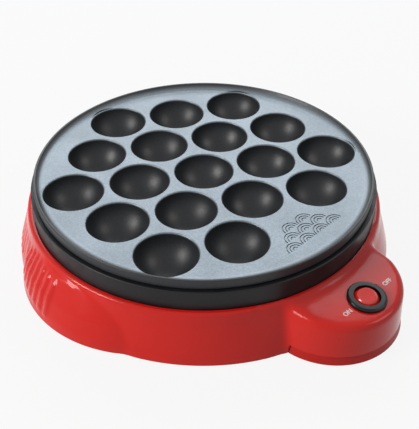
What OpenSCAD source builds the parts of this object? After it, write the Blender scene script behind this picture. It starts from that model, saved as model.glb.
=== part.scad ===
// Round countertop takoyaki maker: cast grill plate with 18 cups on a moulded base with a switch lobe.
// Millimetres, +Z up, the switch lobe towards -Y, standing on Z = 0.

/* [Grill plate] */
// Distance between neighbouring cups, centre to centre
cup_pitch = 42.5; // [41:0.5:46]
// Radius of a cup at its mouth
cup_r = 19; // [17:0.5:19]
// Depth of a cup below the plate's floor
cup_depth = 18; // [15:0.5:18]
// Wall of a cup
cup_wall = 2.2; // [1.8:0.1:2.4]
// Rounding of a cup's mouth
cup_mouth_r = 0.9; // [0.5:0.1:1.2]
// Thickness of the plate's floor
plate_t = 3; // [2.5:0.1:3.6]
// From the outermost cup's mouth to the plate's outer wall
rim_margin = 5.1; // [4.8:0.1:8]
// Height of the raised lip above the floor
lip_h = 3.8; // [3:0.1:6]
// Width of the lip's top
lip_w = 1.5; // [1.2:0.1:1.9]
// Height of the shadow groove between the plate's wall and the collar
groove_h = 1; // [0.6:0.1:1.5]
// Turn of the plate on its base, in degrees
plate_turn = 2; // [0:0.5:4]
// Depth of the relief in the place without a cup
relief_depth = 0.5; // [0.3:0.1:0.8]

/* [Collar] */
// How far the collar stands out past the plate's wall
collar_proud = 2.3; // [1.5:0.1:4]
// Height of the collar that shows above the shell
collar_h = 12.8; // [11:0.2:18]
// Wall of the collar
collar_t = 3; // [2.4:0.1:3.4]
// Depth of the seat that the collar has in the shell
collar_seat = 1.8; // [1.2:0.1:2.4]

/* [Base shell] */
// Gap between the collar and the shell's lip
lip_gap = 0.5; // [0.3:0.1:0.8]
// Width of the shell's lip
shell_lip_w = 3.1; // [2.8:0.1:4]
// How far the skirt flares out past the lip
skirt_flare = 8.3; // [6:0.1:12]
// Wall of the shell
shell_wall = 2.4; // [2:0.1:2.8]
// How far a side bulge stands out past the skirt
bulge_proud = 7.2; // [5:0.1:10]
// Radius of a side bulge in plan
bulge_r = 80.5; // [74:0.5:86]
// Distance between neighbouring grip ribs, in degrees round the base
rib_step = 3.2; // [2.6:0.1:4]
// Width of a grip rib
rib_w = 3.2; // [2.4:0.1:4]
// How far a grip rib stands proud
rib_proud = 0.8; // [0.4:0.1:1.2]

/* [Switch lobe] */
// Radius of the lobe at its foot
lobe_r = 43; // [40:0.5:46]
// How far the lobe reaches out past the skirt
lobe_proud = 30.5; // [29:0.5:34]
// Slope of the lobe's top, in degrees
lobe_slope = 5; // [4:0.5:8]
// Height of the lobe's top above the skirt's edge, at the switch
lobe_h = 28.8; // [27:0.2:29.4]
// How much narrower the lobe is at its top than at its foot
lobe_draft = 3.6; // [2:0.2:5]
// Rounding of the lobe's top edge
lobe_edge_r = 3.5; // [3:0.5:6]
// Height of the cover's rim that shows under the lobe
strip_h = 6; // [5:0.5:8]
// How far the top of that rim stands back from the lobe's wall
strip_back = 0.8; // [0.4:0.1:1.2]
// Distance of the switch from the lobe's tip
switch_from_tip = 18.6; // [18:0.2:26]

/* [Rocker switch] */
// Radius of the bezel
bezel_r = 11.75; // [11:0.25:12.5]
// Height of the bezel above the lobe
bezel_h = 2.2; // [1.6:0.1:2.8]
// Radius of the switch body
switch_body_r = 9.9; // [9.6:0.1:10.4]
// Depth of the switch body
switch_depth = 14; // [13.8:0.1:14.6]
// Radius of the rocker about its pivot
rocker_r = 7.7; // [7.5:0.1:7.9]
// Travel of the rocker, in degrees
rocker_travel = 24; // [20:1:24]
// Travel of the contact arm, in degrees
contact_travel = 14; // [10:1:14]

/* [Heater] */
// Radius of the heater tube
heater_r = 3.3; // [3:0.1:3.5]
// Bend radius at the heater's ends
heater_bend = 8; // [7.5:0.5:9]
// Half of the gap between the heater's ends, in degrees
heater_gap = 15; // [14:1:18]
// Thickness of the reflector dish
dish_t = 0.6; // [0.5:0.1:0.8]
// Air between the cups and the reflector dish
air_gap = 14.2; // [13:0.2:18]
// Room for the wiring between dish and cover
wiring_space = 10.6; // [10:0.1:14]

/* [Underside] */
// Height of the feet below the skirt
foot_h = 1; // [0.8:0.1:3]
// Radius of a foot
foot_r = 7; // [6:0.5:8]
// Thickness of the bottom cover
cover_t = 2.5; // [2:0.1:3]
// How far the cover sits up inside the skirt
cover_inset = 0.5; // [0.3:0.1:1]
// Radius of the cord's way through the bushing
cord_r = 3.6; // [3:0.1:4]
// How far the bushing stands out past the skirt
bushing_proud = 2; // [1:0.5:4]
// Radius of a connecting lead
lead_r = 1.3; // [1:0.1:1.4]

/* [Hidden] */
$fn = 96;

// Clearances
fit = 0.3;      // between pieces that are assembled by hand
running = 0.05; // between a pin and its bore
cut = 1;        // how far a cutter runs past a face

// Radii, from the cups outwards
plate_r = 2 * cup_pitch + cup_r + rim_margin;
collar_r = plate_r + collar_proud;
lip_in_r = collar_r + lip_gap;
lip_r = lip_in_r + shell_lip_w;
skirt_r = lip_r + skirt_flare;
bulge_reach = skirt_r + bulge_proud;
lobe_reach = skirt_r + lobe_proud;
lobe_y = -(lobe_reach - lobe_r);
switch_y = -(lobe_reach - switch_from_tip);
axis_y = (lobe_reach - skirt_r - bushing_proud) / 2;

// Heights, from the surface upwards
skirt_z = foot_h;
cover_z = skirt_z + cover_inset;
cover_top = cover_z + cover_t;
dish_z = cover_top + wiring_space;
cup_bottom_z = dish_z + dish_t + air_gap;
plate_z = cup_bottom_z + cup_wall + cup_depth;
collar_top = plate_z - plate_t;
lip_z = collar_top - collar_h;
collar_bottom = lip_z - collar_seat;
crease_z = lip_z - 9.2;
strip_z = skirt_z + strip_h;
shelf_t = 3;
shelf_z = collar_bottom - shelf_t;

// Cups and heater
cup_sphere_r = (cup_r * cup_r + cup_depth * cup_depth) / (2 * cup_depth);
cup_centre_z = plate_z - cup_depth + cup_sphere_r;
ring_half = cup_pitch * (sqrt(3) - 1) / 2;
heater_ring_r = cup_pitch * (1 + sqrt(3)) / 2;
heater_clear = cup_sphere_r + cup_wall + heater_r + 0.6;
heater_z = cup_centre_z - sqrt(heater_clear * heater_clear - ring_half * ring_half);
rail_half_w = heater_r + 2.7;
rail_h = 8;
end_z = dish_z - 5;

// Screw places: the edge places of the cup pattern lie at 0, 60 and so on
boss_r = 4.5;
plate_boss_at = plate_r - 13.1;
plate_boss_z = plate_z - 15;
plate_screw_angles = [0, 120, 240];
collar_screw_at = collar_r - 3.7;
collar_screw_angles = [60, 120, 240, 300];
cover_screw_at = skirt_r - 15;
cover_screw_angles = [40, 140, 220, 320];
foot_at = skirt_r - 21;
foot_angles = [62, 118, 242, 298];
clamp_boss_r = 3.2;
clamp_in = cup_pitch * 2 / sqrt(3);
clamp_out = cup_pitch * sqrt(7 / 3);
clamp_out_angle = 19.1;
clamp_angles = [60, 180, 300];

// Reflector dish
dish_floor_r = plate_boss_at + 5.5;
dish_flange_r = collar_screw_at + 1.8;
dish_mouth_r = dish_floor_r + 1.5;

// Thermostat, in the place without a cup
pad_y = -(2 * cup_pitch - 1);
pad_r = 12;
pad_z = collar_top - 2;
thermostat_r = 8;
thermostat_h = 10;
bracket_half = 14;
fuse_y = pad_y - 15;
grommets = [[18, pad_y - 10], [21, pad_y + 6]];
fuse_r = 2;
fuse_len = 24;
fuse_clip_z = collar_top - 2 * fuse_r - 0.1;
fuse_screw_x = -fuse_len / 2 - 6;

// Rocker switch, in its own frame: Z out of the lobe, X from ON to OFF
pivot_z = -2.5;
window_r = rocker_r + fit;
stub_r = 1.5;
post_r = 1.9;
plunger_r = 1.2;
arm_len = 11;
arm_w = 3.4;
arm_t = 0.7;
terminal_w = 4.8;
terminal_t = 0.8;
terminal_len = 6.3;
terminal_x = 4.6;
switch_floor = 1.4;
arm_z = -switch_depth + switch_floor + 1.75;
plunger_tip = pivot_z - arm_z - arm_t - running;
arm_pin_r = 0.55;
switch_face_z = skirt_z + lobe_h;

// Terminal block and bushing
block_y = 84;
block_size = [24, 13, 7.6];
bushing_z = skirt_z + 12.4;
bushing_r = 6;
bushing_out = skirt_r - 4;
bushing_in = bushing_out - shell_wall;

// ---------- Helpers ----------

function polar(r, a) = [r * cos(a), r * sin(a)];
function arc(cx, cy, r, a0, a1, n = 8) = [for (i = [0:n]) [cx, cy] + polar(r, a0 + (a1 - a0) * i / n)];

// Puts what is drawn round the cooker's own axis into the part's frame
module on_axis() {
    translate([0, axis_y, 0]) children();
}

// The plate and all that hangs on it are turned a little on the base
module on_plate() {
    on_axis() rotate([0, 0, plate_turn]) children();
}

module in_switch() {
    on_axis() translate([0, switch_y, switch_face_z]) rotate([lobe_slope, 0, 0]) children();
}

module around(angles, r = 0) {
    for (a = angles) rotate([0, 0, a]) translate([r, 0, 0]) children();
}

module rod(r, z0, z1) {
    translate([0, 0, z0]) cylinder(r = r, h = z1 - z0);
}

module tube(r, hole, z0, z1) {
    difference() {
        rod(r, z0, z1);
        rod(hole, z0 - cut, z1 + cut);
    }
}

// Every place of the cup pattern apart from the one beside the switch
module cup_places() {
    rotate([0, 0, -90])
        for (q = [-2:2], r = [-2:2])
            if (abs(q + r) <= 2 && !(q == 2 && r == 0))
                translate([cup_pitch * (q + r / 2), cup_pitch * r * sqrt(3) / 2, 0]) children();
}

// Pan-head screw: its shank runs up from the head, which lies below z
module screw(z, shank_r, shank_len, head_r, head_h) {
    difference() {
        union() {
            rod(shank_r, z - head_h / 2, z + shank_len);
            rod(head_r, z - head_h, z);
        }
        for (a = [0, 90]) rotate([0, 0, a])
            translate([-head_r * 0.6, -0.35, z - head_h - cut]) cube([head_r * 1.2, 0.7, cut + head_h * 0.45]);
    }
}

// A round wire swept along points: frames are carried along so that it never twists
function unit(v) = v / norm(v);
function backwards(p) = [for (i = [len(p) - 1:-1:0]) p[i]];
function tangents(p) = [for (i = [0:len(p) - 1]) unit(p[min(i + 1, len(p) - 1)] - p[max(i - 1, 0)])];
function across(v, t) = unit(v - (v * t) * t);
function carried(t, n, i = 1) = i == len(t) ? n : carried(t, concat(n, [across(n[i - 1], t[i])]), i + 1);
function first_normal(t) = across(abs(t[2]) > 0.9 ? [1, 0, 0] : [0, 0, 1], t);
function softened(p) = concat([p[0]],
    [for (i = [0:len(p) - 2]) each [p[i] * 0.75 + p[i + 1] * 0.25, p[i] * 0.25 + p[i + 1] * 0.75]],
    [p[len(p) - 1]]);

module wire(points, r, sides = 8) {
    t = tangents(points);
    n = carried(t, [first_normal(t[0])]);
    last = len(points) - 1;
    rings = [for (i = [0:last], k = [0:sides - 1])
        points[i] + r * (cos(360 * k / sides) * n[i] + sin(360 * k / sides) * cross(t[i], n[i]))];
    walls = [for (i = [0:last - 1], k = [0:sides - 1])
        [i * sides + k, i * sides + (k + 1) % sides, (i + 1) * sides + (k + 1) % sides, (i + 1) * sides + k]];
    start = [[for (k = [0:sides - 1]) sides - 1 - k]];
    end = [[for (k = [0:sides - 1]) last * sides + k]];
    polyhedron(points = rings, faces = [for (f = concat(start, walls, end)) backwards(f)]);
}

// ---------- Base ----------

// The skirt's wall in section, drawn in by the given wall
module skirt_solid(inset = 0) {
    foot = inset > 0 ? skirt_z - cut : skirt_z;
    drop = inset > 0 ? shell_lip_w + 1 : 0;
    rotate_extrude() polygon(concat(
        [[0, foot], [skirt_r - inset, foot], [skirt_r - inset, skirt_z], [skirt_r - 0.2 - inset, skirt_z + 1.2],
            [lip_r + 1.5 - inset, crease_z]],
        arc(lip_r - 1 - inset, lip_z - 1 - drop, 1, 8, 90, 6),
        [[0, lip_z - drop]]));
}

module bulge_solid(inset = 0) {
    foot = inset > 0 ? skirt_z - cut : skirt_z;
    top_r = bulge_r - bulge_proud - skirt_flare + 0.8;
    for (side = [-1, 1]) translate([side * (bulge_reach - bulge_r), 0, 0])
        rotate_extrude() polygon(concat(
            [[0, foot], [bulge_r - inset, foot], [bulge_r - inset, skirt_z],
                [bulge_r - 1.2 - inset, skirt_z + 6], [bulge_r - 5 - inset, skirt_z + 16],
                [top_r - inset + 1.2, lip_z - 3 - inset]],
            [[0, lip_z - 3 - inset]]));
}

// The lobe is turned about an axis that leans out with its top
module lobe_solid(inset = 0) {
    foot = inset > 0 ? skirt_z - cut : skirt_z;
    lean = lobe_slope;
    top_h = (lobe_y - switch_y) * sin(lean) + lobe_h * cos(lean) - inset;
    deep = 12;
    foot_out = lobe_r + lobe_draft * deep / top_h - inset;
    top_out = lobe_r - lobe_draft - inset;
    edge_r = lobe_edge_r - inset / 2;
    intersection() {
        translate([0, lobe_y, skirt_z]) rotate([lean, 0, 0])
            rotate_extrude() polygon(concat(
                [[0, -deep], [foot_out, -deep]],
                arc(top_out - edge_r, top_h - edge_r, edge_r, 8, 90, 8),
                [[0, top_h]]));
        translate([-80, lobe_y - 80, foot]) cube([160, 80 - lobe_y, 60]);
    }
}

module shell_form(inset = 0) {
    skirt_solid(inset);
    bulge_solid(inset);
    lobe_solid(inset);
}

// Grip ribs round the back half of each bulge and on towards the back, lying on the flank
module grip_ribs() {
    slope = atan((skirt_r - lip_r - 1.5) / (crease_z - skirt_z));
    half = rib_w / 2;
    for (side = [-1, 1], a = [1:rib_step:50]) {
        on_bulge = a < 21;
        out = bulge_reach - bulge_r;
        // Angle about the bulge's own axis that faces the same way
        turn = asin(out * sin(a) / bulge_r);
        rotate([0, 0, side > 0 ? a : 180 - a])
            translate([on_bulge ? out * cos(a) + bulge_r * cos(turn) - 1.4 : skirt_r - 1, 0, skirt_z + 2])
                rotate([0, on_bulge ? -22 : -slope, 0]) translate([-half + rib_proud, 0, 0])
                    cylinder(r = half, h = crease_z - skirt_z - 4);
    }
}

module base_shell() {
    color("firebrick") on_axis() difference() {
        union() {
            difference() {
                union() {
                    shell_form();
                    grip_ribs();
                }
                shell_form(shell_wall);
            }
            // Shelf that carries the collar, joined to the wall all round
            difference() {
                rod(lip_r - 0.6, shelf_z, collar_bottom);
                rod(dish_mouth_r + 1, shelf_z - cut, collar_bottom + cut);
            }
            // Boss behind the cord hole
            translate([0, 0, bushing_z]) rotate([-90, 0, 0]) rod(bushing_r + 3, bushing_in, bushing_out + 1.5);
            // Posts for the cover's screws
            around(cover_screw_angles, cover_screw_at) rod(boss_r, cover_top, shelf_z + cut);
        }
        // Mouth that the collar drops into, through the part of the lobe that leans over it too
        rod(lip_in_r, collar_bottom, lip_z + lobe_h);
        rod(dish_mouth_r + 1, 0, lip_z);
        // The lobe's wall stops above the cover's rim
        difference() {
            translate([-80, -lobe_reach - 10, 0]) cube([160, lobe_reach, strip_z]);
            rod(skirt_r, -cut, strip_z + cut);
            translate([-200, -lobe_reach + 60, -cut]) cube([400, 400, strip_z + 2 * cut]);
        }
        // Screw holes
        around(cover_screw_angles, cover_screw_at) rod(1.25, 0, shelf_z - 4);
        rotate([0, 0, plate_turn]) around(collar_screw_angles, collar_screw_at) rod(1.7, shelf_z - cut, lip_z);
        // Switch hole
        translate([0, switch_y, switch_face_z]) rotate([lobe_slope, 0, 0])
            rod(switch_body_r + 0.1, -10, 10);
        // Cord hole, with a flat seat for the bushing on both sides
        translate([0, 0, bushing_z]) rotate([-90, 0, 0]) {
            rod(bushing_r + 0.1, bushing_in - 10, skirt_r + 10);
            rod(bushing_r + 2.4, bushing_out, skirt_r + 10);
            rod(bushing_r + 2.2, bushing_in - 10, bushing_in);
        }
    }
}

module cover_outline(back) {
    circle(r = skirt_r - back);
    for (side = [-1, 1]) translate([side * (bulge_reach - bulge_r), 0]) circle(r = bulge_r - back);
}

module bottom_cover() {
    inner = shell_wall + 1.2;
    color("darkred") on_axis() difference() {
        union() {
            translate([0, 0, cover_z]) linear_extrude(cover_t) cover_outline(inner);
            // Tray under the lobe, whose rim shows as a strip
            difference() {
                translate([0, lobe_y, skirt_z])
                    cylinder(r1 = lobe_r, r2 = lobe_r - lobe_draft / 4 - strip_back, h = strip_h - 0.1);
                translate([0, lobe_y, cover_top]) cylinder(r = lobe_r - 4.6, h = strip_h);
                rod(skirt_r + fit, 0, strip_z + cut);
            }
            translate([0, lobe_y, cover_z]) cylinder(r = lobe_r - shell_wall - 1.2, h = cover_t);
            // Pads that the feet sit in
            around(foot_angles, foot_at) rod(foot_r + 1.6, cover_z - 0.4, cover_top);
        }
        around(foot_angles, foot_at) rod(foot_r + 0.1, 0, cover_z + 0.9);
        around(cover_screw_angles, cover_screw_at) {
            rod(1.9, 0, cover_top + cut);
            rod(3.6, 0, cover_z + 1.1);
        }
        // Vent slots
        for (x = [-4:4]) translate([x * 9 - 1.6, -26, 0]) cube([3.2, 52, cover_top + cut]);
    }
}

module feet() {
    color("dimgray") on_axis() around(foot_angles, foot_at) union() {
        cylinder(r1 = foot_r - 0.6, r2 = foot_r, h = 0.6);
        rod(foot_r, 0.6, cover_z + 0.9);
    }
}

module cover_screws() {
    color("silver") on_axis() around(cover_screw_angles, cover_screw_at)
        screw(cover_z + 1.1, 1.25, 12, 3.2, 1.4);
}

// ---------- Collar and plate ----------

module collar_ring() {
    top_in = plate_r - 2.8;
    flange_in = dish_mouth_r + 0.8;
    color("black") on_plate() difference() {
        union() {
            rotate_extrude() polygon(concat(
                [[flange_in, collar_bottom + dish_t], [dish_flange_r + fit, collar_bottom + dish_t],
                    [dish_flange_r + fit, collar_bottom], [collar_r, collar_bottom]],
                arc(collar_r - 0.7, collar_top - 0.7, 0.7, 0, 90, 5),
                [[top_in, collar_top], [top_in, collar_top - collar_t],
                    [collar_r - collar_t, collar_top - collar_t],
                    [collar_r - collar_t, collar_bottom + collar_t], [flange_in, collar_bottom + collar_t]]));
            around(collar_screw_angles, collar_screw_at) rod(3.2, collar_bottom + dish_t, collar_top - 1.5);
        }
        around(collar_screw_angles, collar_screw_at) rod(1.25, collar_bottom - cut, collar_top - 4);
    }
}

module collar_screws() {
    color("silver") on_plate() around(collar_screw_angles, collar_screw_at) screw(shelf_z, 1.25, 11, 2.9, 1.6);
}

// The plate's turned form: floor, coved lip and stepped outer wall
module plate_blank() {
    lip_in = plate_r - lip_w;
    cove_r = 6.3;
    cove_in = lip_in - 5.8;
    top = plate_z + lip_h;
    rotate_extrude() polygon(concat(
        [[0, collar_top], [plate_r - 0.9, collar_top], [plate_r - 0.9, collar_top + groove_h],
            [plate_r, collar_top + groove_h]],
        arc(plate_r - 0.6, top - 0.6, 0.6, 0, 90, 4),
        arc(lip_in + 0.3, top - 0.4, 0.4, 90, 155, 3),
        [for (p = arc(cove_in, plate_z + cove_r, cove_r, -34, -90, 8)) [p[0], min(p[1], top - 0.8)]],
        [[0, plate_z]]));
}

// One cup's hollow, with a rounded mouth
module cup_cutter() {
    mouth_a = -asin((cup_centre_z - plate_z) / cup_sphere_r);
    blend = cup_mouth_r;
    rotate_extrude() polygon(concat(
        [[0, cup_centre_z - cup_sphere_r]],
        [for (i = [1:24]) let (a = -90 + (mouth_a - 3 + 90) * i / 24)
            [cup_sphere_r * cos(a), cup_centre_z + cup_sphere_r * sin(a)]],
        arc(cup_r + blend, plate_z - blend, blend, 180, 90, 5),
        [[cup_r + blend, plate_z + cut], [0, plate_z + cut]]));
}

// A traditional wave pattern of nested arcs, cut shallow into the floor
module wave_relief() {
    wave_r = 5.8;
    line = 0.7;
    step = 2 * wave_r + 0.6;
    top_row = -2 * cup_pitch + 6;
    for (row = [0:2], col = [0:row + 1])
        translate([(col - (row + 1) / 2) * step, top_row - row * (wave_r + 1), plate_z - relief_depth])
            intersection() {
                for (k = [1:3]) difference() {
                    cylinder(r = wave_r * k / 3, h = 2);
                    translate([0, 0, -cut]) cylinder(r = wave_r * k / 3 - line, h = 2 + 2 * cut);
                }
                translate([-wave_r, 0, 0]) cube([2 * wave_r, wave_r, 2]);
            }
}

module grill_plate() {
    color("darkslategray") on_plate() difference() {
        union() {
            plate_blank();
            intersection() {
                cup_places() translate([0, 0, cup_centre_z]) sphere(r = cup_sphere_r + cup_wall);
                rod(plate_r - 1, 0, collar_top + 1);
            }
            // Rail that the heater is pressed into
            intersection() {
                rotate_extrude() translate([heater_ring_r - rail_half_w, heater_z])
                    square([2 * rail_half_w, rail_h]);
                rail_sector();
            }
            around(plate_screw_angles, plate_boss_at) rod(boss_r, plate_boss_z, collar_top + 1);
            clamp_places() rod(clamp_boss_r, heater_z - heater_r + 0.3, collar_top + 1);
            translate([0, pad_y, 0]) {
                rod(pad_r, pad_z, collar_top + 1);
                for (x = [-1, 1]) translate([x * bracket_half, 0, 0]) rod(3.2, pad_z - 5, collar_top + 1);
            }
            translate([fuse_screw_x, fuse_y, 0]) rod(3, fuse_clip_z, collar_top + 1);
        }
        cup_places() cup_cutter();
        rotate_extrude() translate([heater_ring_r, heater_z]) circle(r = heater_r + 0.1);
        around(plate_screw_angles, plate_boss_at) rod(1.65, plate_boss_z - cut, collar_top - 2);
        clamp_places() rod(1.25, heater_z - 10, collar_top - 6);
        for (x = [-1, 1]) translate([x * bracket_half, pad_y, 0]) rod(1.25, 0, collar_top - 1);
        translate([fuse_screw_x, fuse_y, 0]) rod(1.25, 0, collar_top - 0.5);
        wave_relief();
    }
}

// Everything round the ring apart from the gap between the heater's ends
module rail_sector() {
    big = 4 * heater_ring_r;
    difference() {
        translate([-big / 2, -big / 2, 0]) cube([big, big, 100]);
        translate([0, 0, -cut]) linear_extrude(102)
            polygon([[0, 0], polar(big, -93 - heater_gap), polar(big, -87 + heater_gap)]);
    }
}

module clamp_places() {
    for (a = clamp_angles) {
        rotate([0, 0, a]) translate([clamp_in, 0, 0]) children();
        rotate([0, 0, a + clamp_out_angle]) translate([clamp_out, 0, 0]) children();
    }
}

// ---------- Heater ----------

module heater_element() {
    color("slategray") on_plate() {
        union() {
            rotate([0, 0, -90 + heater_gap]) rotate_extrude(angle = 360 - 2 * heater_gap)
                translate([heater_ring_r, heater_z]) circle(r = heater_r);
            for (side = [-1, 1]) rotate([0, 0, -90 + side * heater_gap])
                translate([heater_ring_r, 0, heater_z - heater_bend]) rotate([90, 0, side < 0 ? 90 : 270])
                    rotate_extrude(angle = 90) translate([heater_bend, 0]) circle(r = heater_r);
            heater_ends() rod(heater_r, end_z + 4, heater_z - heater_bend + 0.01);
            // Crimps where the cold ends begin
            for (side = [-1, 1]) rotate([0, 0, -90 + side * heater_gap]) translate([heater_ring_r, 0, heater_z])
                rotate([90, 0, 0]) rod(heater_r + 0.25, -1.2, 1.2);
            heater_ends() rod(1.2, end_z - 3, end_z + 5);
        }
    }
}

// The heater's ends stand a bend radius further into the gap than the ring's own ends
module heater_ends() {
    for (side = [-1, 1]) rotate([0, 0, -90 + side * heater_gap])
        translate([heater_ring_r, -side * heater_bend, 0]) children();
}

module heater_seals() {
    color("ivory") on_plate() heater_ends() difference() {
        rod(heater_r + 0.6, end_z + 0.5, end_z + 5);
        rod(heater_r, end_z + 4, end_z + 6);
        rod(1.2, end_z, end_z + 5);
    }
}

module heater_clamps() {
    z = heater_z - heater_r;
    color("gainsboro") on_plate() for (a = clamp_angles) difference() {
        hull() {
            rotate([0, 0, a]) translate([clamp_in, 0, 0]) rod(4.6, z - 1.2, z);
            rotate([0, 0, a + clamp_out_angle]) translate([clamp_out, 0, 0]) rod(4.6, z - 1.2, z);
        }
        rotate([0, 0, a]) translate([clamp_in, 0, 0]) rod(1.7, z - 3, z + cut);
        rotate([0, 0, a + clamp_out_angle]) translate([clamp_out, 0, 0]) rod(1.7, z - 3, z + cut);
    }
}

module clamp_screws() {
    color("silver") on_plate() clamp_places() screw(heater_z - heater_r - 1.2, 1.25, 9, 2.8, 1.6);
}

module reflector_dish() {
    color("lightgray") on_plate() difference() {
        rotate_extrude() polygon([[0, dish_z], [dish_floor_r, dish_z], [dish_mouth_r, collar_bottom],
            [dish_flange_r, collar_bottom], [dish_flange_r, collar_bottom + dish_t],
            [dish_mouth_r - dish_t, collar_bottom + dish_t], [dish_floor_r - dish_t, dish_z + dish_t],
            [0, dish_z + dish_t]]);
        around(plate_screw_angles, plate_boss_at) rod(2.1, 0, 30);
        around(collar_screw_angles, collar_screw_at) rod(1.7, 0, 60);
        heater_ends() rod(heater_r + 1.4, 0, 30);
        grommet_places() rod(3, 0, 30);
    }
}

module grommet_places() {
    for (p = grommets) translate([p[0], p[1], 0]) children();
}

module wire_grommets() {
    color("white") on_plate() grommet_places() difference() {
        union() {
            rod(2.9, dish_z - 1.2, dish_z + dish_t + 1.2);
            rod(4.2, dish_z - 1.2, dish_z);
            rod(4.2, dish_z + dish_t, dish_z + dish_t + 1.2);
        }
        rod(lead_r + 0.2, dish_z - 3, dish_z + 5);
    }
}

module spacer_sleeves() {
    color("silver") on_plate() around(plate_screw_angles, plate_boss_at)
        tube(3.6, 2.2, dish_z + dish_t, plate_boss_z);
}

module plate_screws() {
    color("silver") on_plate() around(plate_screw_angles, plate_boss_at)
        screw(dish_z, 1.6, plate_boss_z - dish_z + 9, 3.6, 2.2);
}

// ---------- Thermostat and fuse ----------

module thermostat() {
    z = pad_z - thermostat_h;
    color("ivory") on_plate() translate([0, pad_y, 0]) {
        union() {
            rod(thermostat_r, z + 2, pad_z);
            rod(thermostat_r - 1.2, z, z + 2);
            for (x = [-1, 1]) translate([x * 4 - 0.4, -2.4, z - 5]) cube([0.8, 4.8, 6]);
        }
    }
}

module thermostat_bracket() {
    z = pad_z - 5;
    color("silver") on_plate() translate([0, pad_y, 0]) difference() {
        union() {
            translate([-bracket_half - 4, -4, z - 0.8]) cube([2 * bracket_half + 8, 8, 0.8]);
            rod(thermostat_r + 2, z - 0.8, z);
        }
        rod(thermostat_r + 0.1, 0, 60);
        for (x = [-1, 1]) translate([x * bracket_half, 0, 0]) rod(1.7, 0, 60);
    }
}

module bracket_screws() {
    color("silver") on_plate() {
        translate([0, pad_y, 0]) for (x = [-1, 1]) translate([x * bracket_half, 0, 0])
            screw(pad_z - 5.8, 1.25, 6, 2.6, 1.5);
        translate([fuse_screw_x, fuse_y, 0]) screw(fuse_clip_z - 0.8, 1.25, 4, 2.6, 1.5);
    }
}

module thermal_fuse() {
    color("khaki") on_plate() translate([0, fuse_y, collar_top - fuse_r - 0.05]) rotate([0, 90, 0]) {
        rod(fuse_r, -fuse_len / 2, fuse_len / 2);
    }
}

module fuse_clip() {
    color("silver") on_plate() translate([0, fuse_y, 0]) difference() {
        translate([fuse_screw_x - 3.4, -3.2, fuse_clip_z - 0.8]) cube([fuse_len + 4, 6.4, 0.8]);
        translate([fuse_screw_x, 0, 0]) rod(1.7, 0, 60);
    }
}

// ---------- Wiring ----------

module terminal_block() {
    color("white") on_axis() translate([0, block_y, cover_top]) difference() {
        translate([-block_size[0] / 2, -block_size[1] / 2, 0]) cube(block_size);
        for (x = [-6, 6]) translate([x, 0, 4]) rotate([90, 0, 0]) rod(1.9, -10, 10);
        for (x = [-6, 6]) translate([x, 0, 5]) rod(1.6, 0, 5);
    }
}

function plan(p) = [p[0], p[1] + axis_y, p[2]];
function turned(p) = plan([p[0] * cos(plate_turn) - p[1] * sin(plate_turn),
    p[0] * sin(plate_turn) + p[1] * cos(plate_turn), p[2]]);
function end_point(side) = turned([side * (heater_ring_r * sin(heater_gap) - heater_bend * cos(heater_gap)),
    -heater_ring_r * cos(heater_gap) - heater_bend * sin(heater_gap), end_z - 3]);
function face_point(p) = plan([p[0], switch_y + p[1] * cos(lobe_slope) - p[2] * sin(lobe_slope),
    switch_face_z + p[1] * sin(lobe_slope) + p[2] * cos(lobe_slope)]);

low = cover_top + 2;
block_pole = block_y - block_size[1] / 2 - lead_r / 2;
function tab_point(x, side) = face_point([x, side * (terminal_w / 2 + 0.2), -switch_depth - 4]);
function up_through(g) = [turned([g[0], g[1], dish_z - 6]),
    turned([g[0], g[1], dish_z - 2]), turned([g[0], g[1], dish_z + 7])];

lead_heater_route = [plan([-6, block_pole, cover_top + 4]), plan([-6, block_y - 14, cover_top + 4]),
    plan([-20, 50, low]), plan([-30, 0, low]), plan([-24, -36, low]),
    end_point(-1) + [-5, 0, -0.8], end_point(-1) + [0, 0, -lead_r - 0.1]];
lead_fuse_route = concat([end_point(1) + [0, 0, -lead_r - 0.1], end_point(1) + [6, -2, -0.8]],
    up_through(grommets[0]),
    [turned([18, fuse_y, fuse_clip_z - 6]), turned([15, fuse_y, collar_top - fuse_r - 0.4]),
        turned([fuse_len / 2 + 0.1, fuse_y, collar_top - fuse_r - 0.1])]);
lead_link_route = [turned([-fuse_len / 2 - 0.1, fuse_y, collar_top - fuse_r - 0.1]),
    turned([-fuse_len / 2 - 1.4, fuse_y, collar_top - fuse_r - 0.1]),
    turned([-fuse_len / 2 - 1.4, fuse_y + 6, collar_top - fuse_r - 0.1]),
    turned([-13, fuse_y + 8, pad_z - 10]), turned([-10, pad_y, pad_z - thermostat_h - 3]),
    turned([-4.6, pad_y, pad_z - thermostat_h - 3])];
lead_load_route = concat([turned([4.6, pad_y, pad_z - thermostat_h - 3]),
        turned([12, pad_y, pad_z - thermostat_h - 4])],
    backwards(up_through(grommets[1])),
    [plan([32, pad_y - 2, low]), plan([32, pad_y - 16, low]), plan([17, pad_y - 24, low]),
        tab_point(terminal_x, 1) + [1, 8, 0], tab_point(terminal_x, 1)]);
lead_switch_route = [plan([6, block_pole, cover_top + 4]), plan([6, block_y - 14, cover_top + 4]),
    plan([40, 40, low]), plan([50, 0, low]), plan([46, -50, low]), plan([40, pad_y - 8, low + 4.4]),
    plan([25, pad_y - 21, low + 4.4]), plan([9, pad_y - 25, low + 2]), tab_point(0, 1) + [0, 8, 0],
    tab_point(0, 1)];
lead_lamp_route = [plan([-6, block_pole, cover_top + 6.8]), plan([-6, block_y - 12, cover_top + 6.8]),
    plan([-40, 40, low]), plan([-50, 0, low]), plan([-40, -70, low]),
    plan([-12, -lip_r + 9, low]), tab_point(-terminal_x, 1) + [-1, 8, 0], tab_point(-terminal_x, 1)];

module lead(route) {
    color("white") wire(softened(softened(route)), lead_r);
}

module lead_heater() {
    lead(lead_heater_route);
}

module lead_fuse() {
    lead(lead_fuse_route);
}

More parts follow.
